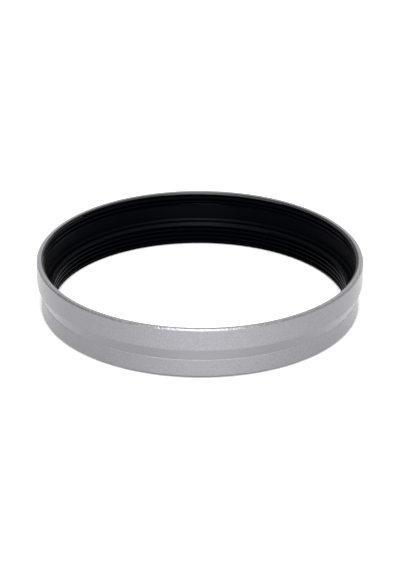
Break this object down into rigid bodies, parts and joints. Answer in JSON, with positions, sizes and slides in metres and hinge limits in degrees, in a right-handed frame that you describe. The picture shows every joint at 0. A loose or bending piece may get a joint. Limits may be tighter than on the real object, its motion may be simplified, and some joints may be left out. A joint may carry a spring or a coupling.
{
  "type": "lens adapter ring",
  "caption": "Turned aluminium ring with a female filter thread at each end: satin silver outside with a tapered step, black inside with a ledge between the threads.",
  "frame": {"origin": "centre of the rear face, which the ring stands on", "axes": "+Z along the optical axis, from the rear thread to the wider front thread"},
  "size_m": [0.0536, 0.0536, 0.0089],
  "materials": {
    "satin_silver_aluminium": "blasted satin silver outside, satin black on the inner walls and threads"
  },
  "bodies": {
    "root": {"adapter_ring": "satin_silver_aluminium"}
  },
  "joints": []
}
